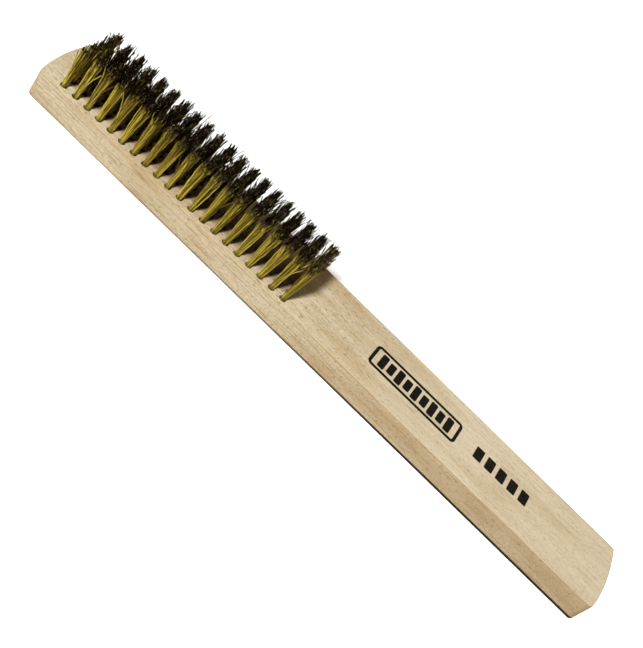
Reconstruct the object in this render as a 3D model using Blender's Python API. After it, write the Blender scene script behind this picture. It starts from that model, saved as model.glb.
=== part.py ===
"""Wire scratch brush: a flat beech block with a field of brass wire tufts set in its head half.

Units are metres and +Z is up. The brush lies on its back with the wires pointing up. The origin is
the middle of the back face, +X runs from the head end to the tail end, and +Y runs across the block.

Pieces:
  handle                 one block of beech, drilled with a blind hole for each tuft
  tuft_column_01 .. 20   the tufts across the block at one station, head end first

Each tuft is a bundle of wires folded double over a flat anchor strip. The anchor is driven to the
bottom of its hole, where its two ends bite into the wood. The wires splay towards their tips, where
those of one column mesh together, so a column is a single solid. Nothing on the brush moves.
"""

import math

import bmesh
import bpy
from mathutils import Matrix, Vector

# Block
LENGTH = 0.290
WIDTH = 0.036
THICKNESS = 0.012
END_CROWN = 0.002           # how far the middle of each end stands past its corners
END_SEGMENTS = 12           # flats along each crowned end
CORNER_RADIUS = 0.0025      # seen from above, of the two corners at -Y
CORNER_SEGMENTS = 5
EDGE_EASE = 0.0005          # rounding of every edge of the block
EASE_SEGMENTS = 2
SHARP_ANGLE = math.radians(30)

# Drilling pattern
COLUMNS = 20
ROWS = 5
COLUMN_PITCH = 0.00597      # along the block
ROW_PITCH = 0.005           # across the block
HEAD_MARGIN = 0.0115        # crown of the head end to the first column
SIDE_MARGIN = 0.0039        # long side at -Y to the first row; the field isn't centred on the block
HOLE_DIAMETER = 0.003
HOLE_DEPTH = 0.008
DRILL_OVERSHOOT = 0.001     # how far the drill stands out of the face at full depth
ROUND_SIDES = 8             # flats around each hole and each tuft

# Tufts
BRISTLE_LENGTH = 0.019      # face of the block to the tips
CLEARANCE = 0.0003          # kept between a tuft or its anchor and the wood
SPLAY_START = 0.10          # share of the bristle length that stays as slim as the root
TIP_MESH = 0.0003           # how far the tips of neighbouring rows reach into each other
COLUMN_GAP = 0.0015         # clear space between the tips of neighbouring columns
TIP_LEAN = 0.0012           # how far the tips lean towards the tail end

# Anchors
ANCHOR_BITE = 0.0006        # how far each end stands past the wall of the hole
ANCHOR_THICKNESS = 0.0004
ANCHOR_HEIGHT = 0.0014
ANCHOR_TURN = math.radians(45)      # set across the grain at a slant, so that the wood doesn't split
FOLD_THICKNESS = 0.0006     # wire that passes under the anchor

# Worked out from the sizes above
HEAD_END = -LENGTH / 2
FIRST_COLUMN = HEAD_END + HEAD_MARGIN
FIRST_ROW = -WIDTH / 2 + SIDE_MARGIN
HOLE_FLOOR = THICKNESS - HOLE_DEPTH
TUFT_FLOOR = HOLE_FLOOR + CLEARANCE
ANCHOR_FLOOR = TUFT_FLOOR + FOLD_THICKNESS
ANCHOR_LENGTH = HOLE_DIAMETER + 2 * ANCHOR_BITE
TIP_HEIGHT = THICKNESS + BRISTLE_LENGTH
ROOT_WIDTH = HOLE_DIAMETER - 2 * CLEARANCE
TIP_ALONG = COLUMN_PITCH - COLUMN_GAP
TIP_ACROSS = ROW_PITCH + TIP_MESH


def clear_scene():
    for old in list(bpy.data.objects):
        bpy.data.objects.remove(old, do_unlink=True)


def principled(name, colour, roughness, metallic):
    material = bpy.data.materials.new(name)
    material.use_nodes = True
    shader = material.node_tree.nodes["Principled BSDF"]
    shader.inputs["Base Color"].default_value = (*colour, 1.0)
    shader.inputs["Roughness"].default_value = roughness
    shader.inputs["Metallic"].default_value = metallic
    return material


def object_from_bmesh(name, bm):
    """Turn a finished bmesh into an object of the scene."""
    bmesh.ops.recalc_face_normals(bm, faces=bm.faces)
    mesh = bpy.data.meshes.new(name)
    bm.to_mesh(mesh)
    bm.free()
    obj = bpy.data.objects.new(name, mesh)
    bpy.context.scene.collection.objects.link(obj)
    return obj


def mark_as_cutter(obj):
    obj.hide_render = True
    obj.display_type = "WIRE"


def add_boolean(obj, operation, other):
    modifier = obj.modifiers.new(other.name, "BOOLEAN")
    modifier.operation = operation
    modifier.solver = "EXACT"
    modifier.object = other


def smooth_round_faces(mesh):
    mesh.shade_smooth()
    mesh.set_sharp_from_angle(angle=SHARP_ANGLE)


def row_y(row):
    return FIRST_ROW + row * ROW_PITCH


def column_x(column):
    return FIRST_COLUMN + column * COLUMN_PITCH


def hole_centres():
    return [(column_x(column), row_y(row)) for column in range(COLUMNS) for row in range(ROWS)]


def ring_points(width_x, width_y, z):
    """A regular ring with its flats facing along X and Y, as wide across the flats as given."""
    reach = 0.5 / math.cos(math.pi / ROUND_SIDES)
    points = []
    for side in range(ROUND_SIDES):
        angle = 2 * math.pi * (side + 0.5) / ROUND_SIDES
        points.append(Vector((width_x * reach * math.cos(angle), width_y * reach * math.sin(angle), z)))
    return points


def add_stack(bm, rings, x, y):
    """Join rings of points, lowest first, into one closed solid that stands at (x, y)."""
    offset = Vector((x, y, 0))
    levels = [[bm.verts.new(point + offset) for point in ring] for ring in rings]
    bm.faces.new(reversed(levels[0]))
    bm.faces.new(levels[-1])
    for lower, upper in zip(levels, levels[1:]):
        for side in range(ROUND_SIDES):
            following = (side + 1) % ROUND_SIDES
            bm.faces.new((lower[side], lower[following], upper[following], upper[side]))


def add_strip(bm, x, y, length, thickness, bottom, top):
    """Add an upright flat strip at (x, y), turned as the anchors are."""
    place = Matrix.Translation((x, y, (bottom + top) / 2)) @ Matrix.Rotation(ANCHOR_TURN, 4, "Z")
    size = Matrix.Diagonal((length, thickness, top - bottom, 1))
    bmesh.ops.create_cube(bm, size=1, matrix=place @ size)


def arc_points(centre, radius, start, stop, segments):
    """Points along an arc on the XY plane about (centre x, centre y), both of its ends included."""
    points = []
    for step in range(segments + 1):
        angle = start + (stop - start) * step / segments
        points.append(Vector((centre.x + radius * math.cos(angle), centre.y + radius * math.sin(angle), 0)))
    return points


def end_outline():
    """The tail end seen from above, from -Y to +Y: a rounded corner, then the crown, each a true arc."""
    half_width = WIDTH / 2
    radius = (half_width ** 2 + END_CROWN ** 2) / (2 * END_CROWN)
    crown_centre = Vector((LENGTH / 2 - radius, 0, 0))
    corner_y = CORNER_RADIUS - half_width
    corner_reach = math.sqrt((radius - CORNER_RADIUS) ** 2 - corner_y ** 2)
    corner_centre = crown_centre + Vector((corner_reach, corner_y, 0))
    meeting = math.atan2(corner_y, corner_reach)
    corner = arc_points(corner_centre, CORNER_RADIUS, -math.pi / 2, meeting, CORNER_SEGMENTS)
    crown = arc_points(crown_centre, radius, meeting, math.asin(half_width / radius), END_SEGMENTS)
    return corner + crown[1:]


def block_outline():
    """The block seen from above: two straight long sides and two crowned ends, mirror images in X."""
    tail = end_outline()
    head = [Vector((-point.x, point.y, 0)) for point in reversed(tail)]
    return tail + head


def hole_cutter():
    bm = bmesh.new()
    levels = (HOLE_FLOOR, THICKNESS + DRILL_OVERSHOOT)
    drill = [ring_points(HOLE_DIAMETER, HOLE_DIAMETER, z) for z in levels]
    for x, y in hole_centres():
        add_stack(bm, drill, x, y)
    return object_from_bmesh("hole_cutter", bm)


def anchor_slot_cutter():
    bm = bmesh.new()
    length = ANCHOR_LENGTH + 2 * CLEARANCE
    thickness = ANCHOR_THICKNESS + 2 * CLEARANCE
    bottom = ANCHOR_FLOOR - CLEARANCE
    top = ANCHOR_FLOOR + ANCHOR_HEIGHT + CLEARANCE
    for x, y in hole_centres():
        add_strip(bm, x, y, length, thickness, bottom, top)
    return object_from_bmesh("anchor_slot_cutter", bm)


def make_handle(material):
    """The beech block, its edges eased, drilled and slotted for the tufts."""
    bm = bmesh.new()
    underside = bm.faces.new([bm.verts.new(point) for point in block_outline()])
    raised = bmesh.ops.extrude_face_region(bm, geom=[underside])["geom"]
    top_verts = [item for item in raised if isinstance(item, bmesh.types.BMVert)]
    bmesh.ops.translate(bm, verts=top_verts, vec=(0, 0, THICKNESS))
    handle = object_from_bmesh("handle", bm)
    handle.data.materials.append(material)
    ease = handle.modifiers.new("ease", "BEVEL")
    ease.width = EDGE_EASE
    ease.segments = EASE_SEGMENTS
    ease.limit_method = "ANGLE"
    ease.angle_limit = SHARP_ANGLE
    for cutter in (hole_cutter(), anchor_slot_cutter()):
        mark_as_cutter(cutter)
        add_boolean(handle, "DIFFERENCE", cutter)
    smooth_round_faces(handle.data)
    return handle


def tuft_rings():
    """One tuft from the fold at the bottom of its hole to its splayed, leaning tips."""
    splay_z = THICKNESS + SPLAY_START * BRISTLE_LENGTH
    lean = Vector((TIP_LEAN, 0, 0))
    return [ring_points(ROOT_WIDTH, ROOT_WIDTH, TUFT_FLOOR),
            ring_points(ROOT_WIDTH, ROOT_WIDTH, splay_z),
            [point + lean for point in ring_points(TIP_ALONG, TIP_ACROSS, TIP_HEIGHT)]]


def tufts_object(name, rows):
    bm = bmesh.new()
    for row in rows:
        add_stack(bm, tuft_rings(), 0, row_y(row))
    return object_from_bmesh(name, bm)


def anchors_object():
    bm = bmesh.new()
    top = ANCHOR_FLOOR + ANCHOR_HEIGHT
    for row in range(ROWS):
        add_strip(bm, 0, row_y(row), ANCHOR_LENGTH, ANCHOR_THICKNESS, ANCHOR_FLOOR, top)
    return object_from_bmesh("anchors", bm)


def column_mesh(material):
    """One column's tufts and anchors, united where the tips mesh, standing at x = 0."""
    tufts = tufts_object("every_other_tuft", range(0, ROWS, 2))
    others = tufts_object("tufts_between", range(1, ROWS, 2))
    anchors = anchors_object()
    add_boolean(tufts, "UNION", others)
    add_boolean(tufts, "UNION", anchors)
    evaluated = tufts.evaluated_get(bpy.context.evaluated_depsgraph_get())
    mesh = bpy.data.meshes.new_from_object(evaluated)
    mesh.name = "tuft_column"
    mesh.materials.clear()
    mesh.materials.append(material)
    smooth_round_faces(mesh)
    for helper in (tufts, others, anchors):
        bpy.data.objects.remove(helper, do_unlink=True)
    return mesh


def make_columns(material):
    mesh = column_mesh(material)
    columns = []
    for column in range(COLUMNS):
        obj = bpy.data.objects.new(f"tuft_column_{column + 1:02d}", mesh)
        obj.location.x = column_x(column)
        bpy.context.scene.collection.objects.link(obj)
        columns.append(obj)
    return columns


def main():
    clear_scene()
    beech = principled("beech", (0.72, 0.55, 0.36), 0.6, 0.0)
    brass_wire = principled("brass_wire", (0.55, 0.43, 0.12), 0.4, 1.0)
    brush = bpy.data.objects.new("brush", None)
    bpy.context.scene.collection.objects.link(brush)
    for piece in [make_handle(beech), *make_columns(brass_wire)]:
        piece.parent = brush


main()
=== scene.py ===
# %% [markdown]
# # A brass wire scratch brush
# The brush is one flat block of beech with a hundred tufts of brass wire in its head half. The packed
# model already says how big everything is, so this lesson loads it first and dresses it: a finer block,
# real wires in place of the plain tufts, and finishes for the wood, the ink and the brass.

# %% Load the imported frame
import math

import bmesh
import bpy
from mathutils import Matrix, Vector


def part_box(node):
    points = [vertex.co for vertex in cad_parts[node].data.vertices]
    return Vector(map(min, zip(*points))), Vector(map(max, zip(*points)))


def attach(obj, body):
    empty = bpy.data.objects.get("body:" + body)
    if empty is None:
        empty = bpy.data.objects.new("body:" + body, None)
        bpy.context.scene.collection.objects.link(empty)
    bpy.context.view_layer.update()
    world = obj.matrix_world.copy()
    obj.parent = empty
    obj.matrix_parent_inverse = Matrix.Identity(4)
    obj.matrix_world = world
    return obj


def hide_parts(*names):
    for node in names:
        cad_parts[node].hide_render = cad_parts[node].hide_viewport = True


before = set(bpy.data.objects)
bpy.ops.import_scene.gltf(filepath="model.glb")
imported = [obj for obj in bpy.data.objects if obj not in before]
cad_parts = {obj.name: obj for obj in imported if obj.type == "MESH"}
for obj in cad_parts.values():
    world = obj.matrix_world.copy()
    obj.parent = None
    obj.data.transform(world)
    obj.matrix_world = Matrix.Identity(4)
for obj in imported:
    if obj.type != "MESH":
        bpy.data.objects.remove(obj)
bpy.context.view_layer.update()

# %% [markdown]
# ## Sizes
# Lengths are in metres. The block and the stations of the twenty columns are read from the packed
# model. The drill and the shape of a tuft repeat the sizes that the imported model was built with, because
# a box can't tell them.

# %% Sizes of the block and the drilling pattern
MM = 0.001
COLUMNS = 20
ROWS = 5
ROW_PITCH = 5.0 * MM
SIDE_MARGIN = 3.9 * MM          # long side at -Y to the first row
END_CROWN = 2.0 * MM            # how far the middle of each end stands past its corners
HOLE_DIAMETER = 3.0 * MM
HOLE_DEPTH = 8.0 * MM
HEAD_MARGIN = 11.5 * MM         # crown of the head end to the first column
CORNER_RADIUS = 2.5 * MM        # seen from above, of the two corners at -Y

column_names = [f"tuft_column_{number + 1:02d}" for number in range(COLUMNS)]
block_low, block_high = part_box("handle")
first_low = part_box(column_names[0])[0]
last_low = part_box(column_names[-1])[0]
face = block_high.z
tip_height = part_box(column_names[0])[1].z
half_width = (block_high.y - block_low.y) / 2
column_pitch = (last_low.x - first_low.x) / (COLUMNS - 1)
first_column = block_low.x + HEAD_MARGIN
first_row = block_low.y + SIDE_MARGIN
print(f"block {(block_high.x - block_low.x) / MM:.1f} long, {2 * half_width / MM:.1f} wide,",
      f"{face / MM:.1f} thick; columns every {column_pitch / MM:.2f};",
      f"wires {(tip_height - face) / MM:.1f} tall")


def column_x(column):
    return first_column + column * column_pitch


# %% [markdown]
# ## Camera
# A camera looks along its own -Z with +X to its right. Its three axes are worked out here from the
# direction of view and the roll, then set as the columns of a matrix, which is plainer than guessing
# three Euler angles. The brush lies along the diagonal, so the camera is rolled by about 45 degrees.

# %% Make the camera
VIEW_TURN = math.radians(1.254)         # from +Y towards +X
VIEW_DROP = math.radians(39.714)        # below the horizon
VIEW_ROLL = math.radians(45.053)
VIEW_DISTANCE = 435.97 * MM
VIEW_TARGET = Vector((-2.904, -1.827, 6.0)) * MM
SENSOR_WIDTH = 36.0                     # millimetres, as Blender gives a lens
FOCAL_LENGTH = 63.37

ahead = Vector((math.sin(VIEW_TURN) * math.cos(VIEW_DROP), math.cos(VIEW_TURN) * math.cos(VIEW_DROP),
                -math.sin(VIEW_DROP)))
level_right = Vector((math.cos(VIEW_TURN), -math.sin(VIEW_TURN), 0))
level_up = level_right.cross(ahead)
right = level_right * math.cos(VIEW_ROLL) + level_up * math.sin(VIEW_ROLL)
up = level_up * math.cos(VIEW_ROLL) - level_right * math.sin(VIEW_ROLL)
axes = Matrix((right, up, -ahead)).transposed().to_4x4()

lens = bpy.data.cameras.new("camera")
lens.sensor_fit = "HORIZONTAL"
lens.sensor_width = SENSOR_WIDTH
lens.lens = FOCAL_LENGTH
camera = bpy.data.objects.new("camera", lens)
camera.matrix_world = Matrix.Translation(VIEW_TARGET - ahead * VIEW_DISTANCE) @ axes
bpy.context.scene.collection.objects.link(camera)
bpy.context.scene.camera = camera
print("camera at", [round(v / MM) for v in camera.matrix_world.translation], "mm")

# %% [markdown]
# ## Formulas made of nodes
# The light, the wires and the finishes are formulas, and a formula of twenty Math nodes is hard to read
# in code. The small class below stands for a number in a node tree. Arithmetic on it adds the Math
# nodes, so the formulas further down look like formulas.

# %% A number that builds nodes
class Number:
    """A number that flows through a node tree."""

    def __init__(self, tree, socket):
        self.tree = tree
        self.socket = socket

    def math(self, operation, *others):
        node = self.tree.nodes.new("ShaderNodeMath")
        node.operation = operation
        for slot, term in zip(node.inputs, (self, *others)):
            plug(self.tree, term, slot)
        return Number(self.tree, node.outputs[0])

    def __add__(self, other):
        return self.math("ADD", other)

    def __sub__(self, other):
        return self.math("SUBTRACT", other)

    def __mul__(self, other):
        return self.math("MULTIPLY", other)

    def __truediv__(self, other):
        return self.math("DIVIDE", other)

    def __pow__(self, other):
        return self.math("POWER", other)

    def __abs__(self):
        return self.math("ABSOLUTE")

    def clamped(self):
        return self.math("MAXIMUM", 0.0).math("MINIMUM", 1.0)

    def between(self, low, high):
        """0 up to the first value, 1 from the second on, and a straight slope from one to the other."""
        return ((self - low) / (high - low)).clamped()


def plug(tree, term, slot):
    """Link a number or a socket to a slot, or set the slot to a plain value."""
    if isinstance(term, Number):
        term = term.socket
    if isinstance(term, bpy.types.NodeSocket):
        tree.links.new(term, slot)
    else:
        slot.default_value = term


def add_node(tree, kind, values=None, **options):
    """Add a node, set its options, and fill inputs given by name or by place."""
    node = tree.nodes.new(kind)
    for option, value in options.items():
        setattr(node, option, value)
    for slot, value in (values or {}).items():
        plug(tree, value, node.inputs[slot])
    return node


def mixed(tree, share, first, second):
    """The first colour where the share is 0, the second where it is 1."""
    node = add_node(tree, "ShaderNodeMix", data_type="RGBA")
    plug(tree, share, node.inputs[0])
    for slot, colour in ((node.inputs[6], first), (node.inputs[7], second)):
        plug(tree, colour if isinstance(colour, bpy.types.NodeSocket) else (*colour, 1.0), slot)
    return node.outputs[2]


print("node helpers: Number, plug, add_node and mixed")

# %% [markdown]
# ## Floor and light
# The brush lies on a white table. The front lamp stands a little towards the head and throws short, deep
# shadows behind the tufts. A big dim lamp behind keeps the far side from going black, and two low ones
# light the end faces, which the front lamp only grazes. A real table this bright would wash out the
# shadows under the wires, so the camera sees it white and all other light finds it a warm grey. It glows
# less round the brush than further out, because a full glow would drown the shadows on it. The world
# works the same way, white to the camera, dim and warm to the rest. The Standard view shows colours as
# they are, with no film curve over them, so the finishes can be judged by their own values.

# %% Make the table
TABLE_SIZE = 40.0
NEAR_GLOW = 0.45                # emission round the brush, where shadows should show
FAR_GLOW = 1.0
GLOW_START = 0.25               # how far from the middle of the brush the glow starts to grow
GLOW_END = 0.60
NO_GLOW = (0.0, 0.0, 0.0)
TABLE_SEEN = (0.95, 0.95, 0.95)
TABLE_BOUNCE = (0.20, 0.17, 0.12)


def make_table_material():
    material = bpy.data.materials.new("white_table")
    material.use_nodes = True
    tree = material.node_tree
    shader = tree.nodes["Principled BSDF"]
    seen = add_node(tree, "ShaderNodeLightPath").outputs["Is Camera Ray"]
    place = add_node(tree, "ShaderNodeTexCoord").outputs["Object"]
    distance = add_node(tree, "ShaderNodeVectorMath", {0: place}, operation="LENGTH")
    glow = add_node(tree, "ShaderNodeMapRange", {
        "Value": distance.outputs["Value"], "From Min": GLOW_START, "From Max": GLOW_END,
        "To Min": NEAR_GLOW, "To Max": FAR_GLOW}, interpolation_type="SMOOTHSTEP")
    plug(tree, mixed(tree, seen, TABLE_BOUNCE, TABLE_SEEN), shader.inputs["Base Color"])
    plug(tree, mixed(tree, seen, NO_GLOW, glow.outputs[0]), shader.inputs["Emission Color"])
    shader.inputs["Emission Strength"].default_value = 1.0
    shader.inputs["Roughness"].default_value = 0.9
    shader.inputs["Specular IOR Level"].default_value = 0.0
    return material


def object_from_bmesh(name, bm):
    """Turn a finished bmesh into an object of the scene."""
    mesh = bpy.data.meshes.new(name)
    bm.to_mesh(mesh)
    bm.free()
    made = bpy.data.objects.new(name, mesh)
    bpy.context.scene.collection.objects.link(made)
    return made


bm = bmesh.new()
bmesh.ops.create_grid(bm, x_segments=1, y_segments=1, size=TABLE_SIZE / 2)
floor = object_from_bmesh("floor", bm)
floor.data.materials.append(make_table_material())
print(f"table {TABLE_SIZE:.0f} m wide")

# %% Hang the lamps
LAMP_AIM = Vector((-0.05, 0, face))
DAYLIGHT = (1.0, 1.0, 1.0)
LAMPLIGHT = (1.0, 0.88, 0.70)


def add_lamp(name, turn, rise, distance, size, power, colour=DAYLIGHT):
    """A soft round lamp aimed at the tufts. It turns from -Y towards +X, and rises above the table."""
    turn = math.radians(turn)
    rise = math.radians(rise)
    away = Vector((math.sin(turn) * math.cos(rise), -math.cos(turn) * math.cos(rise), math.sin(rise)))
    light = bpy.data.lights.new(name, "AREA")
    light.shape = "DISK"
    light.size = size
    light.energy = power
    light.color = colour
    lamp = bpy.data.objects.new(name, light)
    lamp.location = LAMP_AIM + away * distance
    lamp.rotation_euler = away.to_track_quat("Z", "Y").to_euler()
    bpy.context.scene.collection.objects.link(lamp)
    print(f"{name}: {power} W at {distance} m")


add_lamp("front_lamp", turn=-14, rise=45, distance=1.25, size=0.18, power=21.5)
add_lamp("back_lamp", turn=160, rise=7, distance=1.20, size=0.60, power=6.5, colour=LAMPLIGHT)
add_lamp("head_lamp", turn=-84, rise=7, distance=1.20, size=0.60, power=2.4, colour=LAMPLIGHT)
add_lamp("tail_lamp", turn=84, rise=7, distance=1.20, size=0.60, power=2.4, colour=LAMPLIGHT)

# %% Light the world
WORLD_SEEN = (1.0, 1.0, 1.0)
WORLD_COLOUR = (1.0, 0.68, 0.30)
WORLD_STRENGTH = 0.06

world = bpy.data.worlds.new("white_world")
world.use_nodes = True
sky = world.node_tree
camera_ray = add_node(sky, "ShaderNodeLightPath").outputs["Is Camera Ray"]
world_light = [WORLD_STRENGTH * part for part in WORLD_COLOUR]
plug(sky, mixed(sky, camera_ray, world_light, WORLD_SEEN), sky.nodes["Background"].inputs["Color"])
bpy.context.scene.world = world
bpy.context.scene.view_settings.view_transform = "Standard"
print("world light:", [round(part, 3) for part in world_light])

# %% [markdown]
# ## The beech finish
# Beech is a pale, even wood. What shows is a broad drift from cream to tan, fine lines along the block,
# and the short dark flecks that give beech away. All three are the same thing at different sizes:
# stretched noise with a threshold. So one shader group, *mottle*, makes them, and the brass uses it too
# for its tarnish. It reads Object coordinates, which don't stretch when the block is long and thin.

# %% The mottle group
SOCKET_KINDS = {int: "NodeSocketInt", float: "NodeSocketFloat", tuple: "NodeSocketVector"}


def add_inputs(tree, sizes):
    """Give a tree one named input for each size, and return them by name as numbers."""
    for name, value in sizes.items():
        socket = tree.interface.new_socket(name, in_out="INPUT", socket_type=SOCKET_KINDS[type(value)])
        socket.default_value = value
    given = tree.nodes.new("NodeGroupInput")
    return {name: Number(tree, given.outputs[name]) for name in sizes}


def shader_group(name, outputs, sizes):
    tree = bpy.data.node_groups.new(name, "ShaderNodeTree")
    for output, kind in outputs.items():
        tree.interface.new_socket(output, in_out="OUTPUT", socket_type=kind)
    return tree, add_inputs(tree, sizes)


def make_mottle_group():
    """Noise stretched to the given size of patch, then sharpened between two levels."""
    tree, given = shader_group("mottle", {"Mask": "NodeSocketFloat"}, {
        "Place": (0.0, 0.0, 0.0), "Patch Size": (0.01, 0.01, 0.01), "Detail": 2.0,
        "Waviness": 0.0, "Low": 0.4, "High": 0.6})
    stretched = add_node(tree, "ShaderNodeVectorMath", {0: given["Place"], 1: given["Patch Size"]},
                         operation="DIVIDE")
    noise = add_node(tree, "ShaderNodeTexNoise", {
        "Vector": stretched.outputs[0], "Scale": 1.0, "Detail": given["Detail"],
        "Distortion": given["Waviness"]})
    level = add_node(tree, "ShaderNodeMapRange", {
        "Value": noise.outputs[0], "From Min": given["Low"], "From Max": given["High"]},
        interpolation_type="SMOOTHSTEP")
    output = tree.nodes.new("NodeGroupOutput")
    tree.links.new(level.outputs[0], output.inputs["Mask"])
    return tree


mottle = make_mottle_group()


def mottled(tree, place, size, low, high, detail=2.0, waviness=0.0):
    """Use the mottle group in a material. The size of a patch is in millimetres."""
    node = add_node(tree, "ShaderNodeGroup", node_tree=mottle)
    values = {"Place": place, "Patch Size": [side * MM for side in size], "Detail": detail,
              "Waviness": waviness, "Low": low, "High": high}
    for slot, value in values.items():
        plug(tree, value, node.inputs[slot])
    return Number(tree, node.outputs["Mask"])


print("mottle group:", len(mottle.nodes), "nodes")

# %% [markdown]
# ## The ink
# Two marks are stamped on the face in black ink. They are colour soaked into the wood rather than
# raised shapes, so they belong in the wood's material. A rounded box is the one shape they need: its
# distance formula gives a solid bar or an outline, and a little softness at the edge reads as ink that
# has crept into the grain. The marks are plain: a frame round nine bars, and a row of five bars.

# %% The stamp group
def make_stamp_group():
    """A rounded box on the XY plane, inked inwards from its edge by the line width."""
    tree, given = shader_group("stamp", {"Mask": "NodeSocketFloat"}, {
        "Place": (0.0, 0.0, 0.0), "Middle X": 0.0, "Middle Y": 0.0, "Half Length": 0.01,
        "Half Height": 0.005, "Corner": 0.001, "Line": 0.001, "Softness": 0.0002})
    place = add_node(tree, "ShaderNodeSeparateXYZ", {0: given["Place"]})
    x = Number(tree, place.outputs[0])
    y = Number(tree, place.outputs[1])
    beyond_x = abs(x - given["Middle X"]) - given["Half Length"] + given["Corner"]
    beyond_y = abs(y - given["Middle Y"]) - given["Half Height"] + given["Corner"]
    outside = (beyond_x.math("MAXIMUM", 0.0) ** 2.0 + beyond_y.math("MAXIMUM", 0.0) ** 2.0) ** 0.5
    inside = beyond_x.math("MAXIMUM", beyond_y).math("MINIMUM", 0.0)
    distance = outside + inside - given["Corner"]
    half_line = given["Line"] * 0.5
    from_line = abs(distance + half_line) - half_line
    mask = (from_line / given["Softness"] * -1.0 + 0.5).clamped()
    output = tree.nodes.new("NodeGroupOutput")
    tree.links.new(mask.socket, output.inputs["Mask"])
    return tree


stamp = make_stamp_group()
print("stamp group:", len(stamp.nodes), "nodes")

# %% The two marks
SOLID = 20 * MM                 # a line this wide fills any bar
FRAME_MIDDLE = Vector((41.7, 0.55, 0)) * MM
FRAME_HALF = Vector((22.9, 6.3, 0)) * MM
FRAME_CORNER = 2.2 * MM
FRAME_LINE = 1.45 * MM
FRAME_BARS = 9
FRAME_BAR_PITCH = 4.35 * MM
FRAME_BAR_HALF = Vector((1.6, 4.1, 0)) * MM
SHORT_BAR_HALF = Vector((1.6, 3.2, 0)) * MM
FRAME_BAR_CORNER = 0.7 * MM
ROW_MIDDLE = Vector((87.5, 0.75, 0)) * MM
ROW_BARS = 5
ROW_BAR_PITCH = 6.0 * MM
ROW_BAR_HALF = Vector((2.05, 3.5, 0)) * MM
ROW_BAR_CORNER = 0.5 * MM


def row_of_bars(middle, bars, pitch, halves, corner):
    """Bars side by side, evenly spaced about the middle. Their half sizes take turns."""
    marks = []
    for bar in range(bars):
        x = middle.x + (bar - (bars - 1) / 2) * pitch
        half = halves[bar % len(halves)]
        marks.append((x, middle.y, half.x, half.y, corner, SOLID))
    return marks


def stamp_marks():
    """The marks as (middle x, middle y, half length, half height, corner, line)."""
    frame_mark = (FRAME_MIDDLE.x, FRAME_MIDDLE.y, FRAME_HALF.x, FRAME_HALF.y, FRAME_CORNER, FRAME_LINE)
    framed = row_of_bars(FRAME_MIDDLE, FRAME_BARS, FRAME_BAR_PITCH, (FRAME_BAR_HALF, SHORT_BAR_HALF),
                         FRAME_BAR_CORNER)
    return [frame_mark] + framed + row_of_bars(ROW_MIDDLE, ROW_BARS, ROW_BAR_PITCH, (ROW_BAR_HALF,),
                                               ROW_BAR_CORNER)


def stamped(tree, place):
    """All the marks as one mask."""
    total = None
    for mark in stamp_marks():
        node = add_node(tree, "ShaderNodeGroup", node_tree=stamp)
        plug(tree, place, node.inputs["Place"])
        slots = ("Middle X", "Middle Y", "Half Length", "Half Height", "Corner", "Line")
        for slot, value in zip(slots, mark):
            node.inputs[slot].default_value = value
        mask = Number(tree, node.outputs["Mask"])
        total = mask if total is None else total.math("MAXIMUM", mask)
    return total


print(len(stamp_marks()), "ink marks")

# %% [markdown]
# ## The beech material
# The patterns are laid over each other from broad to fine: drift, lines, fibres, speckle and flecks. Then the
# top is painted lighter towards the tail and the side darker, as painted light and shade. The rest follows
# the shape of the block. A face that looks along the block shows the layers and pores of its end grain. The
# eased edges are painted darker, a painted shade that takes back the highlight the lamp gives them, and the
# wood between the tufts gets painted shade. A thin painted contact shadow runs along the foot of the side at
# -Y and rises towards the tail. The ink comes last, on the face only, a little worn.

# %% The colours and patterns of beech
CREAM = (0.70, 0.605, 0.43)
TAN = (0.52, 0.395, 0.22)
LINE_BROWN = (0.37, 0.26, 0.135)
FLECK_BROWN = (0.17, 0.10, 0.045)
PALE = (0.745, 0.67, 0.51)
END_GRAIN = (0.44, 0.33, 0.17)
# The next two colours are painted shade: the dark between the tufts and the thin contact shadow along the
# foot.
FIELD_SHADE_BROWN = (0.15, 0.065, 0.025)
FOOT_SHADOW_BLACK = (0.012, 0.007, 0.004)
INK = (0.002, 0.001, 0.0005)

# Each pattern is the size of a patch in millimetres, the low and the high level, detail and waviness.
DRIFT = ((55, 9, 12), 0.36, 0.70, 2.0, 0.4)
LINES = ((16, 0.60, 0.7), 0.50, 0.72, 3.0, 0.25)
FIBRES = ((4, 0.22, 0.22), 0.38, 0.70, 2.0)
SPECKLE = ((1.0, 0.42, 0.42), 0.40, 0.66, 2.0)
FLECKS = ((1.9, 0.36, 0.38), 0.62, 0.72, 1.0)
LAYERS = ((30, 12, 0.8), 0.40, 0.62, 2.0, 0.3)
PORES = ((0.5, 0.5, 0.5), 0.52, 0.70)
WORN_INK = ((0.5, 0.25, 0.25), 0.60, 0.80)

# The painted shade on the wood between the tufts is stamped like a mark, with a very soft edge.
last_column = column_x(COLUMNS - 1)
SHADE_FIELD_PATCH = {
    "Middle X": (first_column + last_column) / 2, "Half Length": (last_column - first_column) / 2 + 1.5 * MM,
    "Middle Y": first_row + 12.3 * MM, "Half Height": 9.0 * MM, "Corner": 1 * MM, "Line": 30 * MM,
    "Softness": 2.5 * MM,
}
FOOT_LINE = 1.10 * MM           # height of the painted contact shadow at the head end
FOOT_RISE = 0.35 * MM           # what it gains towards the middle of the block
FOOT_TAIL_RISE = 0.15 * MM      # and once more towards the tail
FOOT_FADE = 0.15 * MM
print(f"dark field {2 * SHADE_FIELD_PATCH['Half Length'] / MM:.1f} by {2 * SHADE_FIELD_PATCH['Half Height'] / MM:.1f} mm")


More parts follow.
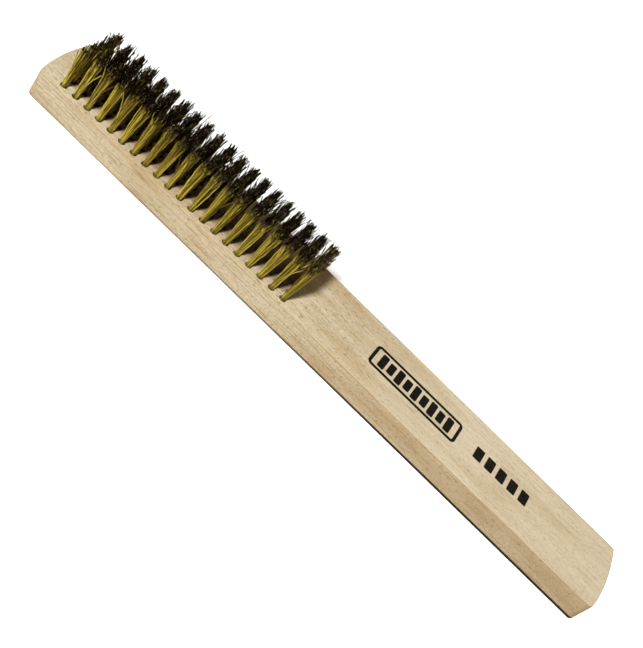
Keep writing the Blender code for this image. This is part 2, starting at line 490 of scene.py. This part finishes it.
# %% What the beech finish measures
class Grain:
    """The measures that the beech finish is made of, as numbers in one node tree."""

    def __init__(self, tree):
        coordinates = add_node(tree, "ShaderNodeTexCoord")
        self.tree = tree
        self.place = coordinates.outputs["Object"]
        split = add_node(tree, "ShaderNodeSeparateXYZ", {0: self.place})
        facing = add_node(tree, "ShaderNodeSeparateXYZ", {0: coordinates.outputs["Normal"]})
        self.along = Number(tree, split.outputs[0])
        self.height = Number(tree, split.outputs[2])
        self.facing_x, self.facing_y, self.facing_z = (Number(tree, output) for output in facing.outputs)
        self.on_side = abs(self.facing_y).between(0.70, 0.95)
        self.to_tail = self.along.between(-30 * MM, 100 * MM)
        self.lines = self.pattern(LINES)
        self.fibres = self.pattern(FIBRES)
        self.flecks = self.pattern(FLECKS)

    def pattern(self, values):
        return mottled(self.tree, self.place, *values)


# %% Lay the grain
def lay_grain(tree, grain):
    """The colour of clean wood, from the broad drift to the short flecks, with painted light on the
    top and painted shade on the side towards the tail.
    """
    on_side = grain.on_side
    # Painted light: the top is made paler towards the tail, where the front lamp gives less.
    tail_top_light = grain.along.between(0.0, 40 * MM) * (on_side * -1.0 + 1.0)
    to_head = (grain.along * -1.0).between(50 * MM, 100 * MM)
    calm = tail_top_light * -0.45 + 1.0
    colour = mixed(tree, grain.pattern(DRIFT) * 0.8, CREAM, TAN)
    colour = mixed(tree, (tail_top_light * 0.32).math("MAXIMUM", to_head * 0.16), colour, PALE)
    # Painted shade: the side darkens towards the tail.
    colour = mixed(tree, grain.to_tail * on_side * 0.36, colour, LINE_BROWN)
    colour = mixed(tree, grain.lines * calm * (on_side * 0.34 + 0.64), colour, LINE_BROWN)
    colour = mixed(tree, grain.fibres * calm * 0.25, colour, LINE_BROWN)
    colour = mixed(tree, grain.pattern(SPECKLE) * calm * (on_side * 0.15 + 0.30), colour, LINE_BROWN)
    return mixed(tree, grain.flecks * calm * 0.88, colour, FLECK_BROWN)


# %% Lay the wear
def lay_ends_and_shade(tree, grain, colour):
    """What the shape does to the colour: end grain, then painted shade on the eased edges, along the foot
    and between the tufts.
    """
    end_on = abs(grain.facing_x).between(0.60, 1.00)
    colour = mixed(tree, end_on * 0.6, colour, END_GRAIN)
    ends = grain.pattern(LAYERS) * 0.35 + grain.pattern(PORES) * 0.30
    colour = mixed(tree, end_on * ends, colour, LINE_BROWN)
    # Painted shade on the eased edges, which takes back the highlight that the lamp puts on them.
    upward = grain.facing_z.math("MAXIMUM", 0.0)
    edge_shade = (upward - upward ** 2.0) * 4.0
    colour = mixed(tree, edge_shade * 0.85, colour, LINE_BROWN)
    # A painted contact shadow: a thin black line along the foot of the side at -Y, higher towards the tail.
    near_side = (grain.facing_y * -1.0).between(0.25, 0.50)
    past_head = grain.along.between(-110 * MM, 40 * MM)
    foot_height = past_head * FOOT_RISE + grain.to_tail * FOOT_TAIL_RISE + FOOT_LINE
    foot = ((foot_height - grain.height) / FOOT_FADE).clamped()
    colour = mixed(tree, foot * near_side * (past_head * 0.75 + 0.2), colour, FOOT_SHADOW_BLACK)
    # Painted shade on the wood between the tufts, where the wires keep the light off.
    field = add_node(tree, "ShaderNodeGroup", SHADE_FIELD_PATCH, node_tree=stamp)
    plug(tree, grain.place, field.inputs["Place"])
    return mixed(tree, Number(tree, field.outputs["Mask"]) * 0.6, colour, FIELD_SHADE_BROWN)


# %% The beech material
def make_beech():
    material = bpy.data.materials.new("beech")
    material.use_nodes = True
    tree = material.node_tree
    shader = tree.nodes["Principled BSDF"]
    grain = Grain(tree)
    wood = lay_ends_and_shade(tree, grain, lay_grain(tree, grain))
    on_face = grain.height.between(face - 0.10 * MM, face - 0.05 * MM)
    ink = stamped(tree, grain.place) * on_face * (grain.pattern(WORN_INK) * -0.12 + 1.0)
    plug(tree, mixed(tree, ink, wood, INK), shader.inputs["Base Color"])
    plug(tree, grain.fibres * 0.12 + 0.62 - ink * 0.05, shader.inputs["Roughness"])
    relief = grain.lines * -0.4 + grain.fibres * 0.5 - grain.flecks * 0.8
    bump = add_node(tree, "ShaderNodeBump", {"Strength": 0.5, "Distance": 0.06 * MM, "Height": relief})
    plug(tree, bump.outputs[0], shader.inputs["Normal"])
    shader.inputs["Specular IOR Level"].default_value = 0.06
    return material


beech = make_beech()
print("beech:", len(beech.node_tree.nodes), "nodes")

# %% [markdown]
# ## The block
# The real block is sawn, its two ends are shaped to a slight curve, and every edge is eased by sanding.
# The outline is straight sides and true arcs, so a formula gives its points. It is raised to a
# solid and bevelled. The holes are cut with a Boolean against a drilling pattern: one drill is modelled,
# with a small flare that breaks the rim of each hole, and a Geometry Nodes tree stands a copy of
# it on every point of a grid.

# %% Raise and ease the block
END_STEPS = 48
CORNER_STEPS = 12
EDGE_EASE = 0.5 * MM
EASE_STEPS = 4
SHARP_ANGLE = math.radians(30)


def arc_points(centre, radius, start, stop, steps):
    """Points along an arc on the XY plane, both of its ends included."""
    angles = [start + (stop - start) * step / steps for step in range(steps + 1)]
    return [centre + Vector((math.cos(angle), math.sin(angle), 0)) * radius for angle in angles]


def end_outline():
    """The tail end from -Y to +Y: a rounded corner, then the crown, each a true arc."""
    radius = (half_width ** 2 + END_CROWN ** 2) / (2 * END_CROWN)
    crown_centre = Vector((block_high.x - radius, 0, 0))
    corner_y = CORNER_RADIUS - half_width
    corner_reach = math.sqrt((radius - CORNER_RADIUS) ** 2 - corner_y ** 2)
    corner_centre = crown_centre + Vector((corner_reach, corner_y, 0))
    meeting = math.atan2(corner_y, corner_reach)
    corner = arc_points(corner_centre, CORNER_RADIUS, -math.pi / 2, meeting, CORNER_STEPS)
    crown = arc_points(crown_centre, radius, meeting, math.asin(half_width / radius), END_STEPS)
    return corner + crown[1:]


def block_outline():
    """The block seen from above. The head end mirrors the tail end."""
    tail = end_outline()
    return tail + [Vector((-point.x, point.y, 0)) for point in reversed(tail)]


def settle(made):
    """Replace an object's live modifiers by the mesh that they give."""
    evaluated = made.evaluated_get(bpy.context.evaluated_depsgraph_get())
    mesh = bpy.data.meshes.new_from_object(evaluated)
    mesh.name = made.name
    made.modifiers.clear()
    made.data = mesh


def make_block():
    bm = bmesh.new()
    underside = bm.faces.new([bm.verts.new(point) for point in block_outline()])
    raised = bmesh.ops.extrude_face_region(bm, geom=[underside])["geom"]
    top_verts = [item for item in raised if isinstance(item, bmesh.types.BMVert)]
    bmesh.ops.translate(bm, verts=top_verts, vec=(0, 0, face))
    bmesh.ops.recalc_face_normals(bm, faces=bm.faces)
    block = object_from_bmesh("beech_block", bm)
    ease = block.modifiers.new("ease", "BEVEL")
    ease.width = EDGE_EASE
    ease.segments = EASE_STEPS
    ease.limit_method = "ANGLE"
    ease.angle_limit = SHARP_ANGLE
    settle(block)
    return block


block = make_block()
print("block:", len(block.data.polygons), "faces")

# %% Helpers for Geometry Nodes
def vector(tree, x, y, z):
    return add_node(tree, "ShaderNodeCombineXYZ", {0: x, 1: y, 2: z}).outputs[0]


def geometry_tree(name, sizes):
    tree = bpy.data.node_groups.new(name, "GeometryNodeTree")
    tree.interface.new_socket("Geometry", in_out="OUTPUT", socket_type="NodeSocketGeometry")
    tree.interface.new_socket("Material", in_out="INPUT", socket_type="NodeSocketMaterial")
    return tree, add_inputs(tree, sizes)


def end_tree(tree, geometry):
    """Every tree ends the same way: real geometry, with its material on it."""
    material = next(n for n in tree.nodes if n.type == "GROUP_INPUT").outputs["Material"]
    real = add_node(tree, "GeometryNodeRealizeInstances", {0: geometry})
    finished = add_node(tree, "GeometryNodeSetMaterial", {"Geometry": real.outputs[0], "Material": material})
    output = tree.nodes.new("NodeGroupOutput")
    tree.links.new(finished.outputs[0], output.inputs[0])


def grow(name, tree, material, sizes):
    """Run a tree on an empty object with its own sizes, and keep the result as a plain mesh."""
    made = bpy.data.objects.new(name, bpy.data.meshes.new(name))
    bpy.context.scene.collection.objects.link(made)
    modifier = made.modifiers.new(name, "NODES")
    modifier.node_group = tree
    sockets = {item.name: item.identifier for item in tree.interface.items_tree if item.in_out == "INPUT"}
    modifier[sockets["Material"]] = material
    for size, value in sizes.items():
        modifier[sockets[size]] = value
    settle(made)
    return made


# %% Drill the holes
DRILL_SIDES = 24
RIM_BREAK = 0.15 * MM
DRILL_CLEAR = 1.0 * MM


def make_drill():
    """One drill standing at the origin, its tip at the floor of the hole."""
    radius = HOLE_DIAMETER / 2
    flared = radius + RIM_BREAK
    levels = ((face - HOLE_DEPTH, radius), (face - RIM_BREAK, radius), (face, flared),
              (face + DRILL_CLEAR, flared))
    bm = bmesh.new()
    rings = []
    for z, reach in levels:
        circle = bmesh.ops.create_circle(bm, segments=DRILL_SIDES, radius=reach)["verts"]
        bmesh.ops.translate(bm, verts=circle, vec=(0, 0, z))
        rings.append(circle)
    for lower, upper in zip(rings, rings[1:]):
        for side in range(DRILL_SIDES):
            after = (side + 1) % DRILL_SIDES
            bm.faces.new((lower[side], lower[after], upper[after], upper[side]))
    bm.faces.new(rings[0])
    bm.faces.new(rings[-1])
    bmesh.ops.recalc_face_normals(bm, faces=bm.faces)
    return object_from_bmesh("drill", bm)


def pattern_points(tree, given):
    """One point for each hole: the grid that the drill and the anchors share."""
    count = given["Columns"] * given["Rows"]
    index = Number(tree, add_node(tree, "GeometryNodeInputIndex").outputs[0])
    column = ((index + 0.5) / given["Rows"]).math("FLOOR")
    row = index - column * given["Rows"]
    x = column * given["Column Pitch"] + given["First Column"]
    y = row * given["Row Pitch"] + given["First Row"]
    return add_node(tree, "GeometryNodePoints", {"Count": count, "Position": vector(tree, x, y, 0.0)})


pattern_sizes = {"Columns": COLUMNS, "Rows": ROWS, "Column Pitch": column_pitch, "Row Pitch": ROW_PITCH,
                 "First Column": first_column, "First Row": first_row}
drilling, given = geometry_tree("drilling pattern", pattern_sizes)
drill = make_drill()
bit = add_node(drilling, "GeometryNodeObjectInfo", {"Object": drill})
stood = add_node(drilling, "GeometryNodeInstanceOnPoints", {
    "Points": pattern_points(drilling, given).outputs[0], "Instance": bit.outputs["Geometry"]})
end_tree(drilling, stood.outputs[0])
drills = grow("drills", drilling, beech, pattern_sizes)

cut = block.modifiers.new("holes", "BOOLEAN")
cut.operation = "DIFFERENCE"
cut.solver = "EXACT"
cut.object = drills
settle(block)
for tool in (drill, drills):
    bpy.data.objects.remove(tool, do_unlink=True)
block.data.materials.clear()
block.data.materials.append(beech)
block.data.shade_smooth()
block.data.set_sharp_from_angle(angle=SHARP_ANGLE)
weigh = block.modifiers.new("even_shading", "WEIGHTED_NORMAL")
weigh.keep_sharp = True
settle(block)

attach(block, "root")
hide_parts("handle")
print("drilled block:", len(block.data.polygons), "faces")

# %% [markdown]
# ## The brass finish
# The wires are bare brass. New brass is yellow and bright, but each wire has its own shade, and the tips
# are almost black. Every wire carries two values from the tree that grows it: *shade*, a random number of
# its own, and *dark*, which says how black a point of it has gone. It is 1 at the tips, nearly so along the
# inner rows, and less at the roots. The black runs further down on the rows behind the front one. That extra
# black, and the dark along the inner rows and at the roots, is painted shade, where other wires keep the
# light off. The material reads both, so the pattern follows the wires whatever they do. A fine mottle
# paints small glints of light in the black.

# %% The brass material
BRASS_BRIGHT = (1.0, 0.84, 0.11)
BRASS_DEEP = (0.15, 0.095, 0.008)
BRASS_DULL = (0.16, 0.09, 0.012)
BRASS_BLACK = (0.008, 0.004, 0.002)
BRASS_GLINT_PAINT = (0.75, 0.66, 0.48)
TARNISH = ((0.9, 0.9, 2.5), 0.42, 0.72, 3.0)
STREAKS = ((0.10, 0.10, 1.6), 0.40, 0.70)
PAINTED_GLINTS = ((0.40, 0.40, 0.50), 0.69, 0.73, 1.0)


def attribute(tree, name):
    return Number(tree, add_node(tree, "ShaderNodeAttribute", attribute_name=name).outputs["Fac"])


def make_brass():
    material = bpy.data.materials.new("brass_wire")
    material.use_nodes = True
    tree = material.node_tree
    shader = tree.nodes["Principled BSDF"]
    place = add_node(tree, "ShaderNodeTexCoord").outputs["Object"]
    shade = attribute(tree, "shade")
    dark = attribute(tree, "dark")
    tarnish = mottled(tree, place, *TARNISH)
    streaks = mottled(tree, place, *STREAKS)
    colour = mixed(tree, shade ** 1.5, BRASS_DEEP, BRASS_BRIGHT)
    colour = mixed(tree, tarnish * 0.28, colour, BRASS_DULL)
    colour = mixed(tree, streaks * 0.25, colour, BRASS_DULL)
    # Painted glints: the brightest sixth of the wires stay a little less black where they go dark.
    painted_glint = (shade * 6.0 - 5.0).clamped()
    colour = mixed(tree, dark * (painted_glint * -0.10 + 1.0), colour, BRASS_BLACK)
    # Painted glints: small specks of light in the black.
    colour = mixed(tree, mottled(tree, place, *PAINTED_GLINTS) * dark, colour, BRASS_GLINT_PAINT)
    plug(tree, colour, shader.inputs["Base Color"])
    plug(tree, tarnish * 0.12 + 0.44 - dark * 0.22, shader.inputs["Roughness"])
    plug(tree, dark * -0.3 + 0.3, shader.inputs["Metallic"])
    bump = add_node(tree, "ShaderNodeBump", {"Strength": 0.3, "Distance": 0.02 * MM, "Height": streaks})
    plug(tree, bump.outputs[0], shader.inputs["Normal"])
    return material


brass = make_brass()
print("brass:", len(brass.node_tree.nodes), "nodes")

# %% [markdown]
# ## The wires
# A tuft is a bundle of about forty wires. Modelling one and copying it would show at once, so a tree
# grows them all from a rule, each with its own luck. It makes a plain row of points and asks of each
# point which tuft, which wire and which joint of the wire it is. Roots are packed like the seeds of a
# sunflower. From there a wire fans out to its place at the tip, leans a little, waves with its crimp and
# stops at its own height. The points become curves, and the curves become five-sided wires.

# %% The tree that grows a column of tufts
GOLDEN_ANGLE = math.pi * (3 - math.sqrt(5))
WIRE_CLEAR = 0.3 * MM           # between the wires and the hole, at its wall and at its floor
TIP_RISE = 0.6 * MM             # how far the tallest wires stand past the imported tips
SEED_STEP = 20.0                # from one column's random numbers to the next column's
TURN_LUCK = 0.6                 # how far a tip may turn round its tuft, in radians
FADE_LUCK = 0.8                 # how unevenly the black begins, in lengths of its fade
STRAY_RARITY = 14.0             # a higher power leaves fewer wires that stray
wire_sizes = {
    "Rows": ROWS, "Wires": 38, "Joints": 11, "Sides": 5, "Seed": 1,
    "Station": 0.0, "First Row": first_row, "Row Pitch": ROW_PITCH,
    "Wire Thickness": 0.35 * MM, "Root Width": HOLE_DIAMETER - 2 * WIRE_CLEAR,
    "Tip Along": 4.7 * MM, "Inner Spread": 1.3 * MM, "Tip Across": 5.6 * MM, "Tip Lean": 1.2 * MM,
    "Splay Start": 0.06, "Gather": 0.9, "Stray": 5.0 * MM,
    "Foot": face - HOLE_DEPTH + WIRE_CLEAR, "Face": face, "Tip Height": tip_height + TIP_RISE,
    "Raggedness": 1.3 * MM, "Crimp": 0.12 * MM, "Waves": 3.2, "Bow": 0.35 * MM,
    # How far the black runs down from the tips on the front row and on the rows behind, the painted shade
    # along the inner rows and at the roots, and the length of the fade.
    "Front Dark": 1.7 * MM, "Back Dark": 6.0 * MM, "Inner Dark": 0.93, "Root Dark": 0.6, "Fade": 0.8 * MM,
}


def chance(tree, key, seed, low=0.0, high=1.0):
    """A random number that stays the same for everything with the same key."""
    node = add_node(tree, "FunctionNodeRandomValue", {2: low, 3: high, "ID": key, "Seed": seed})
    return Number(tree, node.outputs[1])


def make_wire_tree():
    tree, given = geometry_tree("column of wires", wire_sizes)
    index = Number(tree, add_node(tree, "GeometryNodeInputIndex").outputs[0])
    wire = ((index + 0.5) / given["Joints"]).math("FLOOR")
    joint = index - wire * given["Joints"]
    row = ((wire + 0.5) / given["Wires"]).math("FLOOR")
    place = wire - row * given["Wires"]
    seed = given["Seed"] * SEED_STEP

    share = (place + 0.5) / given["Wires"]
    angle = place * GOLDEN_ANGLE + chance(tree, row, seed, 0.0, math.tau)
    reach = share ** 0.5 * (given["Root Width"] - given["Wire Thickness"]) * 0.5
    spread = share ** given["Gather"] * 0.5
    tip_angle = angle + chance(tree, wire, seed + 1.0, -TURN_LUCK, TURN_LUCK)

    climb = ((joint - 1.0) / (given["Joints"] - 2.0)).math("MAXIMUM", 0.0)
    splay = ((climb - given["Splay Start"]) / (given["Splay Start"] * -1.0 + 1.0)).math("MAXIMUM", 0.0)
    luck = chance(tree, wire, seed + 2.0)
    top = given["Tip Height"] - given["Raggedness"] * luck ** 2.0
    in_hole = joint.math("LESS_THAN", 0.5)
    z = given["Face"] + (top - given["Face"]) * climb - in_hole * (given["Face"] - given["Foot"])

    stray = chance(tree, wire, seed + 3.0) ** STRAY_RARITY * given["Stray"] * splay ** 2.0
    bow = (climb - climb ** 2.0) * 4.0 * given["Bow"] * chance(tree, wire, seed + 4.0, -1.0, 1.0)
    phase = chance(tree, wire, seed + 5.0, 0.0, math.tau)
    wave = (climb * given["Waves"] * math.tau + phase).math("SINE") * given["Crimp"]
    wave = wave * (climb * 4.0).math("MINIMUM", 1.0)
    bend_angle = chance(tree, wire, seed + 6.0, 0.0, math.tau)
    stray_angle = chance(tree, wire, seed + 7.0, 0.0, math.tau)

    inner = row.math("GREATER_THAN", 0.5) * row.math("LESS_THAN", given["Rows"] - 1.5)
    tip_along = given["Tip Along"] + given["Inner Spread"] * inner

    def offset(turn, tip_width):
        root = angle.math(turn) * reach
        tip = tip_angle.math(turn) * spread * tip_width
        sway = bend_angle.math(turn) * (wave + bow) + stray_angle.math(turn) * stray
        return root + (tip - root) * splay + sway

    x = given["Station"] + offset("COSINE", tip_along) + given["Tip Lean"] * splay
    y = given["First Row"] + row * given["Row Pitch"] + offset("SINE", given["Tip Across"])
    count = given["Rows"] * given["Wires"] * given["Joints"]
    points = add_node(tree, "GeometryNodePoints", {"Count": count, "Position": vector(tree, x, y, z)})

    # Black at the tips. It runs further down on the rows behind the front one, and that extra black is
    # painted shade, as is the dark along the inner rows and at the roots.
    back = row.math("MINIMUM", 1.0)
    dark_depth = given["Front Dark"] + (given["Back Dark"] - given["Front Dark"]) * back
    dark_depth = dark_depth + given["Fade"] * chance(tree, wire, seed + 8.0, -FADE_LUCK, FADE_LUCK)
    below_top = given["Tip Height"] - z
    at_tip = ((dark_depth - below_top) / given["Fade"] + 0.5).clamped()
    at_root = (climb * -10.0 + 1.0).clamped() * given["Root Dark"]
    dark = at_tip.math("MAXIMUM", inner * given["Inner Dark"]).math("MAXIMUM", at_root)
    shaded = add_node(tree, "GeometryNodeStoreNamedAttribute", {
        "Geometry": points.outputs[0], "Name": "shade", "Value": chance(tree, wire, seed + 9.0)})
    darkened = add_node(tree, "GeometryNodeStoreNamedAttribute", {
        "Geometry": shaded.outputs[0], "Name": "dark", "Value": dark})

    curves = add_node(tree, "GeometryNodePointsToCurves", {
        "Points": darkened.outputs[0], "Curve Group ID": wire})
    ring = add_node(tree, "GeometryNodeCurvePrimitiveCircle", {
        "Resolution": given["Sides"], "Radius": given["Wire Thickness"] * 0.5})
    drawn = add_node(tree, "GeometryNodeCurveToMesh", {
        "Curve": curves.outputs[0], "Profile Curve": ring.outputs[0], "Fill Caps": True})
    smooth = add_node(tree, "GeometryNodeSetShadeSmooth", {"Geometry": drawn.outputs[0]})
    end_tree(tree, smooth.outputs[0])
    return tree


wire_tree = make_wire_tree()
print("wire tree:", len(wire_tree.nodes), "nodes")

# %% Grow the twenty columns
# The two end columns get less painted shade, because light reaches them from the side.
end_column_sizes = {"Inner Dark": 0.28, "Back Dark": 3.8 * MM, "Fade": 2.5 * MM}
wire_faces = 0
for column, node_name in enumerate(column_names):
    column_sizes = {**wire_sizes, "Station": column_x(column), "Seed": column + 1}
    if column in (0, COLUMNS - 1):
        column_sizes.update(end_column_sizes)
    wires = grow(f"wires_{column + 1:02d}", wire_tree, brass, column_sizes)
    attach(wires, "root")
    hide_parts(node_name)
    wire_faces += len(wires.data.polygons)
print(f"{COLUMNS} columns, {COLUMNS * ROWS * wire_sizes['Wires']} wires, {wire_faces} faces")

# %% [markdown]
# ## The anchors
# What holds a tuft is a short flat strip, driven across the fold of the wires so that its two ends bite
# into the wall of the hole. It sits at the bottom, where no one sees it, but a brush without it would
# fall apart. The strips use the same grid of points as the drill. All of them are turned by 45 degrees
# to the grain, so that they don't split the wood.

# %% Set the anchors
ANCHOR_SIZE = Vector((4.2, 0.4, 1.4)) * MM
ANCHOR_FLOOR = face - HOLE_DEPTH + 0.9 * MM     # above the fold of the wires
ANCHOR_TURN = math.radians(45)

anchor_sizes = {**pattern_sizes, "Anchor Length": ANCHOR_SIZE.x, "Anchor Thickness": ANCHOR_SIZE.y,
                "Anchor Height": ANCHOR_SIZE.z, "Anchor Floor": ANCHOR_FLOOR, "Anchor Turn": ANCHOR_TURN}
anchoring, given = geometry_tree("anchors", anchor_sizes)
size = vector(anchoring, given["Anchor Length"], given["Anchor Thickness"], given["Anchor Height"])
strip = add_node(anchoring, "GeometryNodeMeshCube", {"Size": size})
middle = given["Anchor Floor"] + given["Anchor Height"] * 0.5
turned = add_node(anchoring, "GeometryNodeTransform", {
    "Geometry": strip.outputs[0], "Translation": vector(anchoring, 0.0, 0.0, middle),
    "Rotation": vector(anchoring, 0.0, 0.0, given["Anchor Turn"])})
set_in = add_node(anchoring, "GeometryNodeInstanceOnPoints", {
    "Points": pattern_points(anchoring, given).outputs[0], "Instance": turned.outputs[0]})
end_tree(anchoring, set_in.outputs[0])
anchors = grow("anchor_staples", anchoring, brass, anchor_sizes)
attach(anchors, "root")
print("anchors:", len(anchors.data.polygons), "faces")
